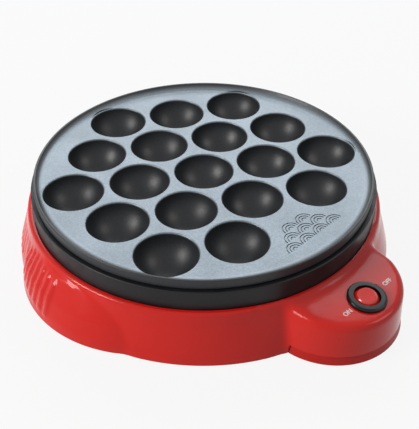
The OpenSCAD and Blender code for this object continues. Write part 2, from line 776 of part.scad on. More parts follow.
module lead_link() {
    lead(lead_link_route);
}

module lead_load() {
    lead(lead_load_route);
}

module lead_switch() {
    lead(lead_switch_route);
}

module lead_lamp() {
    lead(lead_lamp_route);
}

module cord_bushing() {
    color("dimgray") on_axis() translate([0, 0, bushing_z]) rotate([-90, 0, 0]) difference() {
        union() {
            rod(bushing_r, bushing_in - 2, skirt_r + bushing_proud);
            rod(bushing_r + 1.8, bushing_out + 0.05, bushing_out + 2);
            rod(bushing_r + 1.3, bushing_in - 2, bushing_in - 0.05);
        }
        rod(cord_r, bushing_in - 3, skirt_r + bushing_proud + cut);
    }
}

// ---------- Switch ----------

module switch_housing() {
    inner_r = window_r;
    color("black") in_switch() difference() {
        union() {
            rotate_extrude() polygon(concat([[0, 0], [bezel_r, 0], [bezel_r, 0.8]],
                arc(bezel_r - 1.4, bezel_h - 1.4, 1.4, 0, 90, 5), [[0, bezel_h]]));
            rod(switch_body_r, -switch_depth, cut);
        }
        rod(inner_r, -switch_depth + switch_floor, bezel_h + cut);
        rotate([90, 0, 0]) translate([0, pivot_z, 0]) rod(stub_r + running, -inner_r - 1.3, inner_r + 1.3);
        for (x = [-terminal_x, 0, terminal_x])
            translate([x - terminal_t / 2 - 0.05, -terminal_w / 2 - 0.05, -switch_depth - cut])
                cube([terminal_t + 0.1, terminal_w + 0.1, 2 * cut + switch_floor]);
    }
}

// What turns with the rocker, tipped to its ON stop as at rest
module on_rocker() {
    in_switch() translate([0, 0, pivot_z]) rotate([0, -rocker_travel / 2, 0]) children();
}

module switch_rocker() {
    inner_r = rocker_r - 1.1;
    crown_r = 26;
    crown_z = rocker_r - 2.1;
    color("red") on_rocker() difference() {
        union() {
            difference() {
                sphere(r = rocker_r);
                translate([-10, -10, -10 - 2.2]) cube([20, 20, 10]);
                // Shallow dish across the top, along the pivot
                translate([0, 10, crown_z + crown_r]) rotate([90, 0, 0]) cylinder(r = crown_r, h = 20);
                intersection() {
                    sphere(r = inner_r);
                    translate([-10, -10, -10]) cube([20, 20, 10 + crown_z - 1.5]);
                }
            }
            rod(post_r, -5.2, crown_z - 1);
            for (a = [90, -90]) rotate([a, 0, 0]) rod(stub_r, inner_r - 0.3, window_r + 1.2);
        }
        rod(plunger_r + running, -8, 1);
    }
}

module rocker_plunger() {
    color("tan") on_rocker() {
        union() {
            rod(plunger_r, -plunger_tip + plunger_r, -3.4);
            translate([0, 0, -plunger_tip + plunger_r]) sphere(r = plunger_r - 0.001);
        }
    }
}

module plunger_spring() {
    turns = 4;
    steps = 12;
    coil_r = 0.85;
    coil = [for (i = [0:turns * steps]) concat(polar(coil_r, 360 * i / steps), -3.1 + 3.8 * i / turns / steps)];
    color("silver") on_rocker() wire(coil, 0.18, 6);
}

module neon_lamp() {
    color("orange") on_rocker() translate([3.6, 0, 0.4]) rotate([90, 0, 0]) rod(1.55, -3, 3);
}

module contact_arm() {
    color("goldenrod") in_switch() translate([0, 0, arm_z]) rotate([0, contact_travel / 2, 0]) {
        translate([-arm_len / 2, -arm_w / 2, 0]) cube([arm_len, arm_w, arm_t]);
        for (x = [-1, 1]) translate([x * (arm_len / 2 - 1.2), 0, 0]) rod(1, -0.5, arm_t);
        rotate([90, 0, 0]) rod(arm_pin_r, -terminal_w / 2, terminal_w / 2);
    }
}

module switch_terminals() {
    foot = -switch_depth - terminal_len;
    contact_top = arm_z - (arm_len / 2 - 1.2) * sin(contact_travel / 2) - 0.8;
    tops = [-switch_depth + switch_floor, arm_z + 1.2, contact_top];
    color("gold") in_switch() difference() {
        union() {
            for (i = [0:2]) translate([(i - 1) * terminal_x - terminal_t / 2, -terminal_w / 2, foot])
                cube([terminal_t, terminal_w, tops[i] - foot]);
            translate([-1.3, -terminal_w / 2, arm_z - 1.6]) cube([2.6, terminal_w, 2.8]);
        }
        // Seat of the contact arm and its pin, between two ears
        translate([-2, -arm_w / 2 - 0.1, arm_z - 0.8]) cube([4, arm_w + 0.2, 5]);
        translate([0, 0, arm_z]) rotate([90, 0, 0]) rod(arm_pin_r + running, -terminal_w, terminal_w);
    }
}

base_shell();
bottom_cover();
feet();
collar_ring();
grill_plate();
heater_element();
heater_seals();
heater_clamps();
clamp_screws();
reflector_dish();
spacer_sleeves();
plate_screws();
thermostat();
thermostat_bracket();
bracket_screws();
thermal_fuse();
fuse_clip();
terminal_block();
lead_heater();
lead_fuse();
lead_link();
lead_load();
lead_switch();
lead_lamp();
wire_grommets();
switch_housing();
switch_rocker();
rocker_plunger();
plunger_spring();
contact_arm();
switch_terminals();
neon_lamp();
cord_bushing();
collar_screws();
cover_screws();
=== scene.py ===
import math

import bpy
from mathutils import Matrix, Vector


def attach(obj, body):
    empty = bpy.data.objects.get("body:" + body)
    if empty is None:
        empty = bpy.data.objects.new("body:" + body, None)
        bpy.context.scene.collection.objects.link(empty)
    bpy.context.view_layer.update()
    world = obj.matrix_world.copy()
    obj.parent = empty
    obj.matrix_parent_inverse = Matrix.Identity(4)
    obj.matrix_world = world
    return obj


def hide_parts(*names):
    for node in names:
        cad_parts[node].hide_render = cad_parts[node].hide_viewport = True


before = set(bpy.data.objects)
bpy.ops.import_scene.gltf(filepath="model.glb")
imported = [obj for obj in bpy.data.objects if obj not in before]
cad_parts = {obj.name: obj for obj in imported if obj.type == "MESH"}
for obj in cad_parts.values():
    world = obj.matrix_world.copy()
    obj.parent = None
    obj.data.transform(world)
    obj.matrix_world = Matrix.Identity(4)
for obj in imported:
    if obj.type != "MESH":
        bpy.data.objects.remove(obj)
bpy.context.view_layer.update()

# ---------------------------------------------------------------------------
# Base shell: one injection-moulded housing in glossy red plastic, with a
# flared skirt, a bulge to hold it by on each side, grip ribs, and the lobe
# that carries the switch. It stands on the cover's feet.
# ---------------------------------------------------------------------------

RED = (0.66, 0.012, 0.006)
RED_DEEP = (0.57, 0.009, 0.005)


def new_finish(name):
    """An empty material, its node list, its links and its shader."""
    finish = bpy.data.materials.new(name)
    finish.use_nodes = True
    nodes = finish.node_tree.nodes
    return finish, nodes, finish.node_tree.links, nodes["Principled BSDF"]


def noise(nodes, links, scale, detail=3.0, stretch=(1, 1, 1)):
    """Values of a noise on the piece's own metres, pulled out along an axis where it is brushed."""
    place = nodes.new("ShaderNodeTexCoord")
    mapping = nodes.new("ShaderNodeMapping")
    mapping.inputs["Scale"].default_value = stretch
    texture = nodes.new("ShaderNodeTexNoise")
    texture.inputs["Scale"].default_value = scale
    texture.inputs["Detail"].default_value = detail
    links.new(place.outputs["Object"], mapping.inputs["Vector"])
    links.new(mapping.outputs["Vector"], texture.inputs["Vector"])
    return texture.outputs["Fac"]


def spread(nodes, links, values, low, high, start=0.35, end=0.65):
    """Turns the values from start to end into values from low to high."""
    ramp = nodes.new("ShaderNodeMapRange")
    ramp.inputs["From Min"].default_value = start
    ramp.inputs["From Max"].default_value = end
    ramp.inputs["To Min"].default_value = low
    ramp.inputs["To Max"].default_value = high
    links.new(values, ramp.inputs["Value"])
    return ramp.outputs["Result"]


def two_tone(nodes, links, values, first, second, start=0.35, end=0.65):
    """A colour that wanders between two tones."""
    mix = nodes.new("ShaderNodeMix")
    mix.data_type = "RGBA"
    mix.inputs["A"].default_value = (*first, 1)
    mix.inputs["B"].default_value = (*second, 1)
    links.new(spread(nodes, links, values, 0, 1, start, end), mix.inputs["Factor"])
    return mix.outputs["Result"]


def tint(nodes, links, values, first, second, shader, start=0.35, end=0.65):
    """Two tones as the shader's base colour."""
    links.new(two_tone(nodes, links, values, first, second, start, end), shader.inputs["Base Color"])


def relief(nodes, links, values, shader, depth, strength=1.0):
    """Fine surface relief, its depth in metres."""
    bump = nodes.new("ShaderNodeBump")
    bump.inputs["Distance"].default_value = depth
    bump.inputs["Strength"].default_value = strength
    links.new(values, bump.inputs["Height"])
    links.new(bump.outputs["Normal"], shader.inputs["Normal"])


def gloss_moulding(name, colour, deep, rough=(0.13, 0.2), peel=0.00004, specular=0.23):
    """Gloss plastic from a polished mould: a faint orange peel and handling haze."""
    finish, nodes, links, shader = new_finish(name)
    tint(nodes, links, noise(nodes, links, 14, 2), colour, deep, shader)
    haze = noise(nodes, links, 55, 4)
    links.new(spread(nodes, links, haze, *rough), shader.inputs["Roughness"])
    relief(nodes, links, noise(nodes, links, 260, 2), shader, peel)
    shader.inputs["IOR"].default_value = 1.5
    shader.inputs["Specular IOR Level"].default_value = specular
    shader.inputs["Coat Weight"].default_value = 0.06
    shader.inputs["Coat Roughness"].default_value = 0.06
    return finish


def dress(node, finish):
    """Puts a finish on a CAD node that keeps its own shape."""
    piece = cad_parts[node]
    piece.data.materials.clear()
    piece.data.materials.append(finish)


AXIS_Y = 0.01425                                    # the cup pattern's centre stands behind the frame's origin
ON_AXIS = (0, AXIS_Y, 0)
SKIRT_Z, CREASE_Z, LIP_Z = 0.001, 0.0246, 0.0338    # foot, the crease under the lip, and the lip's top
SKIRT_R, LIP_R, MOUTH_R = 0.1233, 0.115, 0.1119
SHELF_R, WALL = 0.104, 0.0024
BULGE_X, BULGE_R = 0.050, 0.0805                    # each bulge is a wide circle that stands off the middle
LOBE_Y, LOBE_R, LOBE_TOP = -0.1108, 0.043, 0.03082
LOBE_SLOPE, LOBE_EDGE = math.radians(5), 0.0035     # the lobe's top falls away from the plate
SWITCH_AT = (0, AXIS_Y - 0.1352, 0.0298)


def only(piece):
    """Deselects everything else and makes this piece the active one."""
    bpy.ops.object.select_all(action="DESELECT")
    piece.select_set(True)
    bpy.context.view_layer.objects.active = piece


def settle(piece):
    """Puts the object at the origin, with its place in its mesh."""
    only(piece)
    bpy.ops.object.transform_apply(location=True, rotation=True, scale=True)
    return piece


def turned(name, rings, sides=160, at=(0, 0, 0), lean=(0, 0, 0)):
    """A closed form raised ring by ring from a disc, as on a lathe: rings are (radius, height)."""
    bpy.ops.object.select_all(action="DESELECT")
    bpy.ops.mesh.primitive_circle_add(vertices=sides, radius=rings[0][0], fill_type="NGON",
                                      location=(0, 0, rings[0][1]))
    piece = bpy.context.object
    piece.name = name
    bpy.ops.object.transform_apply(location=True)
    bpy.ops.object.mode_set(mode="EDIT")
    bpy.ops.mesh.select_all(action="SELECT")
    for (r0, z0), (r1, z1) in zip(rings, rings[1:]):
        bpy.ops.mesh.extrude_region_move(TRANSFORM_OT_translate={"value": (0, 0, z1 - z0)})
        bpy.ops.transform.resize(value=(r1 / r0, r1 / r0, 1), center_override=(0, 0, z1))
    bpy.ops.mesh.select_all(action="SELECT")
    bpy.ops.mesh.normals_make_consistent(inside=False)
    bpy.ops.object.mode_set(mode="OBJECT")
    piece.location = at
    piece.rotation_euler = lean
    return settle(piece)


def joined(pieces, name):
    """Several pieces as one mesh."""
    only(pieces[0])
    for other in pieces[1:]:
        other.select_set(True)
    bpy.ops.object.join()
    pieces[0].name = name
    return pieces[0]


def applied(piece, kind, **settings):
    """Adds a modifier with these settings and applies it."""
    only(piece)
    modifier = piece.modifiers.new(kind.lower(), kind)
    for key, value in settings.items():
        setattr(modifier, key, value)
    bpy.ops.object.modifier_apply(modifier=modifier.name)


def combined(piece, others, operation):
    """Joins other pieces to a piece, or cuts them out of it, and uses them up."""
    for other in others:
        applied(piece, "BOOLEAN", operation=operation, object=other, solver="MANIFOLD")
        bpy.data.objects.remove(other)


def shell_forms(inset, foot):
    """Skirt, both bulges and the lobe, drawn in by the wall, down to the foot."""
    drop = 0.0041 if inset else 0        # the hollow stops at the shelf, below the lip
    skirt_rings = [(SKIRT_R - inset, foot),
                   (SKIRT_R - inset, SKIRT_Z),
                   (SKIRT_R - 0.0002 - inset, SKIRT_Z + 0.0012),
                   (LIP_R + 0.0015 - inset, CREASE_Z),
                   (LIP_R - inset, LIP_Z - 0.0009 - drop),
                   (LIP_R - 0.0004 - inset, LIP_Z - 0.0002 - drop),
                   (LIP_R - 0.0011 - inset, LIP_Z - drop)]
    skirt = turned("skirt", skirt_rings, sides=256, at=ON_AXIS)
    bulge_rings = [(BULGE_R - inset, foot),
                   (BULGE_R - inset, SKIRT_Z),
                   (BULGE_R - 0.0012 - inset, SKIRT_Z + 0.006),
                   (BULGE_R - 0.005 - inset, SKIRT_Z + 0.016),
                   (BULGE_R - 0.0135 - inset, LIP_Z - 0.003 - inset)]
    bulges = [turned("bulge", bulge_rings, at=(side * BULGE_X, AXIS_Y, 0)) for side in (-1, 1)]
    edge = LOBE_EDGE - inset / 2
    top, out = LOBE_TOP - inset, LOBE_R - 0.0036 - inset
    arc = [(out - edge + edge * math.cos(math.radians(a)), top - edge + edge * math.sin(math.radians(a)))
           for a in (8, 20, 32, 44, 56, 68, 80, 90)]
    lobe = turned("lobe", [(LOBE_R + 0.0014 - inset, -0.012)] + arc,
                  at=(0, AXIS_Y + LOBE_Y, SKIRT_Z), lean=(LOBE_SLOPE, 0, 0))
    # The lobe is cut level with the skirt's edge
    only(lobe)
    bpy.ops.object.mode_set(mode="EDIT")
    bpy.ops.mesh.select_all(action="SELECT")
    bpy.ops.mesh.bisect(plane_co=(0, 0, foot), plane_no=(0, 0, 1), use_fill=True, clear_inner=True)
    bpy.ops.object.mode_set(mode="OBJECT")
    return [skirt, *bulges, lobe]


# Grip ribs, round the back half of each bulge and on towards the back: slices of
# slightly larger forms, which come out of the flank above its foot
RIBS, RIB_TURN, RIB_STEP = 16, 1.0, 3.2              # how many, and the first one's angle and the next's
RIB_AT, RIB_SIZE = (0.118, 0, 0.016), (0.030, 0.003, 0.032)
OVER_BULGE = [(BULGE_R - 0.0035, SKIRT_Z),
              (BULGE_R - 0.0004, SKIRT_Z + 0.0052),
              (BULGE_R - 0.0037, SKIRT_Z + 0.016),
              (BULGE_R - 0.0100, LIP_Z - 0.0068),
              (BULGE_R - 0.0145, LIP_Z - 0.003)]
OVER_SKIRT = [(SKIRT_R - 0.003, SKIRT_Z),
              (SKIRT_R - 0.0002, SKIRT_Z + 0.004),
              (LIP_R + 0.0026, CREASE_Z - 0.002),
              (LIP_R + 0.0003, CREASE_Z + 0.0015)]
forms = shell_forms(0, -0.004)
for side in (-1, 1):
    proud = turned("proud", OVER_BULGE, at=(side * BULGE_X, AXIS_Y, 0))
    combined(proud, [turned("behind", OVER_SKIRT, sides=256, at=ON_AXIS)], "UNION")
    slices = []
    for count in range(RIBS):
        turn = math.radians(RIB_TURN + RIB_STEP * count)
        bpy.ops.object.select_all(action="DESELECT")
        bpy.ops.mesh.primitive_cube_add(size=1, location=RIB_AT)
        rib = bpy.context.object
        rib.scale = RIB_SIZE
        settle(rib)
        rib.rotation_euler = (0, 0, turn if side > 0 else math.pi - turn)
        settle(rib)
        rib.location = ON_AXIS
        slices.append(settle(rib))
    combined(proud, [joined(slices, "slices")], "INTERSECT")
    forms.append(proud)
shell = joined(forms, "shell_moulding")
applied(shell, "REMESH", mode="VOXEL", voxel_size=0.0011)
applied(shell, "SMOOTH", factor=0.5, iterations=3)

# The mould has a soft fillet where the lobe grows out of the skirt, a smaller one beside
# the bulges, and one along the lip above the lobe. The first two fade over 8 and 4 mm.
NECK_X, NECK_Y = 0.0405, -0.1125                     # where the lobe's side meets the skirt
NOOK_X, NOOK_Y = 0.111, 0.051                        # where a bulge's side meets it
fillet = shell.vertex_groups.new(name="fillet")
for vertex in shell.data.vertices:
    x, y, z = vertex.co.x, vertex.co.y - AXIS_Y, vertex.co.z
    from_neck = math.hypot(abs(x) - NECK_X, y - NECK_Y)
    from_nook = math.hypot(abs(x) - NOOK_X, abs(y) - NOOK_Y)
    weight = max(1 - max(0, from_neck - 0.006) / 0.008, 0.4 - max(0, from_nook - 0.003) / 0.01)
    if y < -0.1 and math.hypot(x, y) < LIP_R + 0.006 and z > 0.026:
        weight = max(weight, 0.5)
    if weight > 0:
        fillet.add([vertex.index], min(weight, 1), "REPLACE")
applied(shell, "SMOOTH", factor=0.5, iterations=60, vertex_group="fillet")

# Hollow inside, with the wall left all round, and the foot cut level
hollow = joined(shell_forms(WALL, -0.008), "hollow")
applied(hollow, "REMESH", mode="VOXEL", voxel_size=0.0016)
combined(shell, [hollow], "DIFFERENCE")
only(shell)
bpy.ops.object.mode_set(mode="EDIT")
bpy.ops.mesh.select_all(action="SELECT")
bpy.ops.mesh.bisect(plane_co=(0, 0, SKIRT_Z), plane_no=(0, 0, 1), use_fill=True, clear_inner=True)
bpy.ops.object.mode_set(mode="OBJECT")


def plug(name, radius, low, high, sides=128, at=(0, 0, 0), lean=(0, 0, 0)):
    """A short turned form, to cut a hole or to fill in as a ring or a post."""
    return turned(name, [(radius, low), (radius, high)], sides, at, lean)


def around(radius, angle):
    """A place on a circle round the cup pattern's centre."""
    return (radius * math.cos(math.radians(angle)), AXIS_Y + radius * math.sin(math.radians(angle)), 0)


# The lobe's wall stops above the cover's rim, which shows under it as a strip
strip = plug("strip_room", 0.060, -0.002, 0.007, 128, (0, AXIS_Y + LOBE_Y - 0.012, 0))
combined(strip, [plug("skirt_room", SKIRT_R, -0.003, 0.008, 256, ON_AXIS)], "DIFFERENCE")
combined(shell, [strip], "DIFFERENCE")

# Mouth that the collar drops into, shelf under it, posts for the cover's screws, and
# holes for the collar's
COVER_SCREWS_R, COLLAR_SCREWS_R = 0.1083, 0.1077
combined(shell, [plug("mouth", MOUTH_R, 0.028, 0.036, 256, ON_AXIS),
                 plug("inside", SHELF_R, -0.002, 0.036, 256, ON_AXIS)], "DIFFERENCE")
shelf = plug("shelf", 0.1144, 0.029, 0.032, 256, ON_AXIS)
combined(shelf, [plug("opening", SHELF_R, 0.028, 0.033, 256, ON_AXIS)], "DIFFERENCE")
combined(shell, [shelf], "UNION")
for angle in (40, 140, 220, 320):
    combined(shell, [plug("post", 0.0045, 0.004, 0.030, 32, around(COVER_SCREWS_R, angle))], "UNION")
    combined(shell, [plug("bore", 0.00125, 0.0, 0.025, 24, around(COVER_SCREWS_R, angle))], "DIFFERENCE")
for angle in (62, 122, 242, 302):
    combined(shell, [plug("bore", 0.0017, 0.028, 0.034, 24, around(COLLAR_SCREWS_R, angle))], "DIFFERENCE")

# Switch hole, and the cord hole with its flat seats
combined(shell, [plug("switch_hole", 0.01, -0.010, 0.010, 96, SWITCH_AT, (LOBE_SLOPE, 0, 0))], "DIFFERENCE")
back, to_back = (0, AXIS_Y, 0.0134), (-math.pi / 2, 0, 0)
SEAT_IN, SEAT_OUT = 0.1169, 0.1193                   # the bushing grips the wall between them
combined(shell, [plug("boss", 0.009, SEAT_IN, 0.1208, 64, back, to_back)], "UNION")
combined(shell, [plug("seat", 0.0084, SEAT_OUT, 0.1333, 64, back, to_back),
                 plug("seat", 0.0082, 0.1069, SEAT_IN, 64, back, to_back),
                 plug("cord_hole", 0.0061, 0.1069, 0.1333, 64, back, to_back)], "DIFFERENCE")
only(shell)
bpy.ops.object.shade_smooth_by_angle(angle=math.radians(38))
shell.data.materials.clear()
red_shell = gloss_moulding("red_shell", RED, RED_DEEP)
shell.data.materials.append(red_shell)
dress("base_shell", red_shell)
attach(shell, "cooker")
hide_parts("base_shell")

# ---------------------------------------------------------------------------
# ON and OFF: small pad-printed words in white ink on the lobe's top, one on
# each side of the switch, about a tenth of a millimetre thick.
# ---------------------------------------------------------------------------

white_ink, nodes, links, shader = new_finish("white_ink")
tint(nodes, links, noise(nodes, links, 900, 4), (0.86, 0.84, 0.82), (0.78, 0.7, 0.68), shader)
links.new(spread(nodes, links, noise(nodes, links, 1500, 2), 0.4, 0.6), shader.inputs["Roughness"])
LETTER_SIZE, INK = 0.0040, 0.00006
for word, along in (("ON", -0.0171), ("OFF", 0.0193)):
    bpy.ops.object.select_all(action="DESELECT")
    bpy.ops.object.text_add(location=(0, 0, 0))
    label = bpy.context.object
    label.name = "label_" + word.lower()
    label.data.body = word
    label.data.size = LETTER_SIZE
    label.data.extrude = INK
    label.data.offset = INK
    label.data.align_x = "CENTER"
    label.data.align_y = "CENTER"
    bpy.ops.object.convert(target="MESH")
    label.location = (along, 0, 0.00004)
    settle(label)
    label.location = SWITCH_AT
    label.rotation_euler = (LOBE_SLOPE, 0, 0)
    settle(label)
    label.data.materials.append(white_ink)
    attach(label, "cooker")

# ---------------------------------------------------------------------------
# Bottom cover: moulded in the same red, a little darker, and from a less
# polished tool, so that it is duller. Its rim is the thin strip under the
# lobe. It closes the base from below with four screws.
# ---------------------------------------------------------------------------

dress("bottom_cover", gloss_moulding("red_cover", (0.5, 0.01, 0.006), (0.43, 0.008, 0.005),
                                     rough=(0.3, 0.42), peel=0.00006))

# ---------------------------------------------------------------------------
# Feet: four soft rubber discs pushed into pads in the cover. Rubber from a
# matt mould, a little dusty where it touches the table.
# ---------------------------------------------------------------------------


def matt_rubber(name, colour, dusty, grain=900):
    """Rubber from a sparked mould, with dust in its grain."""
    finish, nodes, links, shader = new_finish(name)
    tint(nodes, links, noise(nodes, links, 120, 6), colour, dusty, shader, 0.4, 0.75)
    links.new(spread(nodes, links, noise(nodes, links, 300, 3), 0.6, 0.85), shader.inputs["Roughness"])
    relief(nodes, links, noise(nodes, links, grain, 3), shader, 0.00008)
    return finish


dress("feet", matt_rubber("foot_rubber", (0.05, 0.05, 0.05), (0.12, 0.115, 0.11)))

# ---------------------------------------------------------------------------
# Switch housing: glossy black nylon, one turned-looking moulding with a wide
# rounded bezel. It snaps into the lobe and holds the rocker's stubs.
# ---------------------------------------------------------------------------

dress("switch_housing", gloss_moulding("switch_black", (0.006, 0.006, 0.007), (0.01, 0.01, 0.012),
                                       rough=(0.14, 0.22), peel=0.00003, specular=0.2))

# ---------------------------------------------------------------------------
# Terminals and contact arm: stamped brass, bright where the dies rubbed and
# a little brown elsewhere. The middle blade carries the see-saw arm.
# ---------------------------------------------------------------------------


def stamped_metal(name, bright, dull, rough=(0.22, 0.4), stretch=(1, 1, 12)):
    """Rolled and stamped sheet or drawn wire: fine streaks and slightly stained tone."""
    finish, nodes, links, shader = new_finish(name)
    tint(nodes, links, noise(nodes, links, 90, 5), bright, dull, shader, 0.3, 0.75)
    streaks = noise(nodes, links, 700, 4, stretch)
    links.new(spread(nodes, links, streaks, *rough), shader.inputs["Roughness"])
    relief(nodes, links, streaks, shader, 0.00002, 0.6)
    shader.inputs["Metallic"].default_value = 1.0
    return finish


brass = stamped_metal("contact_brass", (0.80, 0.62, 0.28), (0.62, 0.45, 0.2))
dress("switch_terminals", brass)
dress("contact_arm", brass)

# ---------------------------------------------------------------------------
# Rocker: clear red plastic with a shallow dish across its top, with a faint
# painted red glow for the lamp inside. It hinges on two stubs and is pressed to ON at rest.
# ---------------------------------------------------------------------------

rocker_red, nodes, links, shader = new_finish("rocker_red")
tint(nodes, links, noise(nodes, links, 180, 2), (0.68, 0.016, 0.01), (0.55, 0.01, 0.008), shader)
links.new(spread(nodes, links, noise(nodes, links, 400, 3), 0.08, 0.16), shader.inputs["Roughness"])
relief(nodes, links, noise(nodes, links, 500, 2), shader, 0.00002)
shader.inputs["Transmission Weight"].default_value = 0.2
# Painted glow: a faint red emission stands in for the neon lamp's light inside the rocker
shader.inputs["Emission Color"].default_value = (1.0, 0.06, 0.03, 1)
shader.inputs["Emission Strength"].default_value = 0.08
shader.inputs["IOR"].default_value = 1.49
shader.inputs["Coat Weight"].default_value = 0.3
shader.inputs["Coat Roughness"].default_value = 0.04
dress("switch_rocker", rocker_red)

# ---------------------------------------------------------------------------
# Plunger, its spring and the neon lamp sit in the rocker: a natural nylon
# pin, a coil of spring steel, and a small glass bulb with an amber glow gas.
# ---------------------------------------------------------------------------


def satin_plastic(name, colour, second, rough=(0.38, 0.52), specular=0.5):
    """Plastic from a fine sparked mould."""
    finish, nodes, links, shader = new_finish(name)
    tint(nodes, links, noise(nodes, links, 40, 4), colour, second, shader)
    links.new(spread(nodes, links, noise(nodes, links, 160, 3), *rough), shader.inputs["Roughness"])
    relief(nodes, links, noise(nodes, links, 1400, 2), shader, 0.00005)
    shader.inputs["Specular IOR Level"].default_value = specular
    return finish


dress("rocker_plunger", satin_plastic("plunger_nylon", (0.8, 0.75, 0.62), (0.74, 0.68, 0.55)))
dress("plunger_spring", stamped_metal("spring_steel", (0.62, 0.61, 0.58), (0.45, 0.44, 0.42),
                                      stretch=(8, 1, 1)))

lamp_glass, nodes, links, shader = new_finish("neon_glass")
tint(nodes, links, noise(nodes, links, 300, 2), (1.0, 0.62, 0.38), (0.98, 0.5, 0.3), shader)
links.new(spread(nodes, links, noise(nodes, links, 500, 2), 0.02, 0.08), shader.inputs["Roughness"])
shader.inputs["Transmission Weight"].default_value = 0.9
dress("neon_lamp", lamp_glass)

# ---------------------------------------------------------------------------
# Wiring inside the base: silicone-covered leads, a porcelain terminal block,
# and the grommets where two of the leads pass the reflector.
# ---------------------------------------------------------------------------

lead_cover = matt_rubber("lead_insulation", (0.82, 0.82, 0.79), (0.7, 0.69, 0.65), grain=1600)
for lead in ("lead_heater", "lead_fuse", "lead_link", "lead_load", "lead_switch", "lead_lamp"):
    dress(lead, lead_cover)
dress("wire_grommets", matt_rubber("silicone_white", (0.86, 0.86, 0.83), (0.78, 0.77, 0.73)))


def bare_ceramic(name, colour, stained):
    """Unglazed steatite: fine pores and a few brown firing stains."""
    finish, nodes, links, shader = new_finish(name)
    tint(nodes, links, noise(nodes, links, 70, 6), colour, stained, shader, 0.5, 0.8)
    links.new(spread(nodes, links, noise(nodes, links, 500, 4), 0.55, 0.75), shader.inputs["Roughness"])
    relief(nodes, links, noise(nodes, links, 1800, 3), shader, 0.00006)
    return finish


ceramic = bare_ceramic("ceramic_white", (0.84, 0.82, 0.76), (0.72, 0.66, 0.55))
for body in ("terminal_block", "heater_seals", "thermostat"):
    dress(body, ceramic)

# ---------------------------------------------------------------------------
# Cord bushing: black rubber, pressed into the back wall, where the mains cord
# comes in.
# ---------------------------------------------------------------------------

dress("cord_bushing", matt_rubber("bushing_black", (0.022, 0.022, 0.023), (0.05, 0.05, 0.05)))

# ---------------------------------------------------------------------------
# Reflector dish: bright pressed sheet that throws the heat up and keeps it
# off the base, with the marks of the press running round it.
# ---------------------------------------------------------------------------

dress("reflector_dish", stamped_metal("bright_tin", (0.78, 0.78, 0.77), (0.66, 0.65, 0.63),
                                      rough=(0.16, 0.32), stretch=(1, 1, 30)))

# ---------------------------------------------------------------------------
# Screws, sleeves, clamps and brackets: zinc-plated steel with the faint
# yellow and grey cast of the plating.
# ---------------------------------------------------------------------------

zinc = stamped_metal("zinc_steel", (0.66, 0.66, 0.64), (0.52, 0.51, 0.47))
for fitting in ("spacer_sleeves", "heater_clamps", "thermostat_bracket", "fuse_clip"):
    dress(fitting, zinc)
screw_steel = stamped_metal("screw_steel", (0.68, 0.67, 0.64), (0.5, 0.5, 0.48), stretch=(1, 1, 1))
for screws in ("plate_screws", "clamp_screws", "bracket_screws", "collar_screws", "cover_screws"):
    dress(screws, screw_steel)

# ---------------------------------------------------------------------------
# Heater: a bent sheathed tube, heat-darkened to brown and blue-grey, pressed
# into the plate's rail. The thermal fuse lies in a sleeve of woven glass.
# ---------------------------------------------------------------------------

dress("heater_element", stamped_metal("heater_steel", (0.26, 0.24, 0.23), (0.16, 0.17, 0.2),
                                      rough=(0.35, 0.55)))

braid, nodes, links, shader = new_finish("fuse_sleeve")
weave = nodes.new("ShaderNodeTexWave")
weave.inputs["Scale"].default_value = 600
weave.inputs["Distortion"].default_value = 1.5
place = nodes.new("ShaderNodeTexCoord")
links.new(place.outputs["Object"], weave.inputs["Vector"])
tint(nodes, links, weave.outputs["Fac"], (0.78, 0.72, 0.55), (0.6, 0.54, 0.4), shader, 0.2, 0.8)
relief(nodes, links, weave.outputs["Fac"], shader, 0.0001)
shader.inputs["Roughness"].default_value = 0.8
dress("thermal_fuse", braid)

# ---------------------------------------------------------------------------
# Collar: a black heat-proof moulding between plate and shell. Satin, with a
# fine grain and a tone that wanders a little.
# ---------------------------------------------------------------------------

dress("collar_ring", satin_plastic("black_phenolic", (0.008, 0.0085, 0.01), (0.012, 0.0125, 0.014),
                                   rough=(0.34, 0.46), specular=0.24))

# ---------------------------------------------------------------------------
# Grill plate: cast aluminium, turned and blasted, then sprayed with a dark
# non-stick coating. The coating is smooth, with a fine peel and a blue-grey
# sheen where it mirrors a window; its lip, walls and cups carry painted shade.
# ---------------------------------------------------------------------------



def reckoned(nodes, links, operation, first, second):
    """Two values, or a value and a number, put together."""
    step = nodes.new("ShaderNodeMath")
    step.operation = operation
    links.new(first, step.inputs[0])
    if isinstance(second, float):
        step.inputs[1].default_value = second
    else:
        links.new(second, step.inputs[1])
    return step.outputs["Value"]


FLOOR_Z, FLOOR_R = 0.0496, 0.106                     # the plate's floor between the cups, out to its lip
coated, nodes, links, shader = new_finish("coated_aluminium")
place = nodes.new("ShaderNodeTexCoord")
centred = nodes.new("ShaderNodeMapping")
centred.inputs["Location"].default_value = (0, -AXIS_Y, -FLOOR_Z)
links.new(place.outputs["Object"], centred.inputs["Vector"])
parts = nodes.new("ShaderNodeSeparateXYZ")
links.new(centred.outputs["Vector"], parts.inputs["Vector"])
flat = nodes.new("ShaderNodeCombineXYZ")
links.new(parts.outputs["X"], flat.inputs["X"])
links.new(parts.outputs["Y"], flat.inputs["Y"])
radius = nodes.new("ShaderNodeVectorMath")
radius.operation = "LENGTH"
links.new(flat.outputs["Vector"], radius.inputs[0])
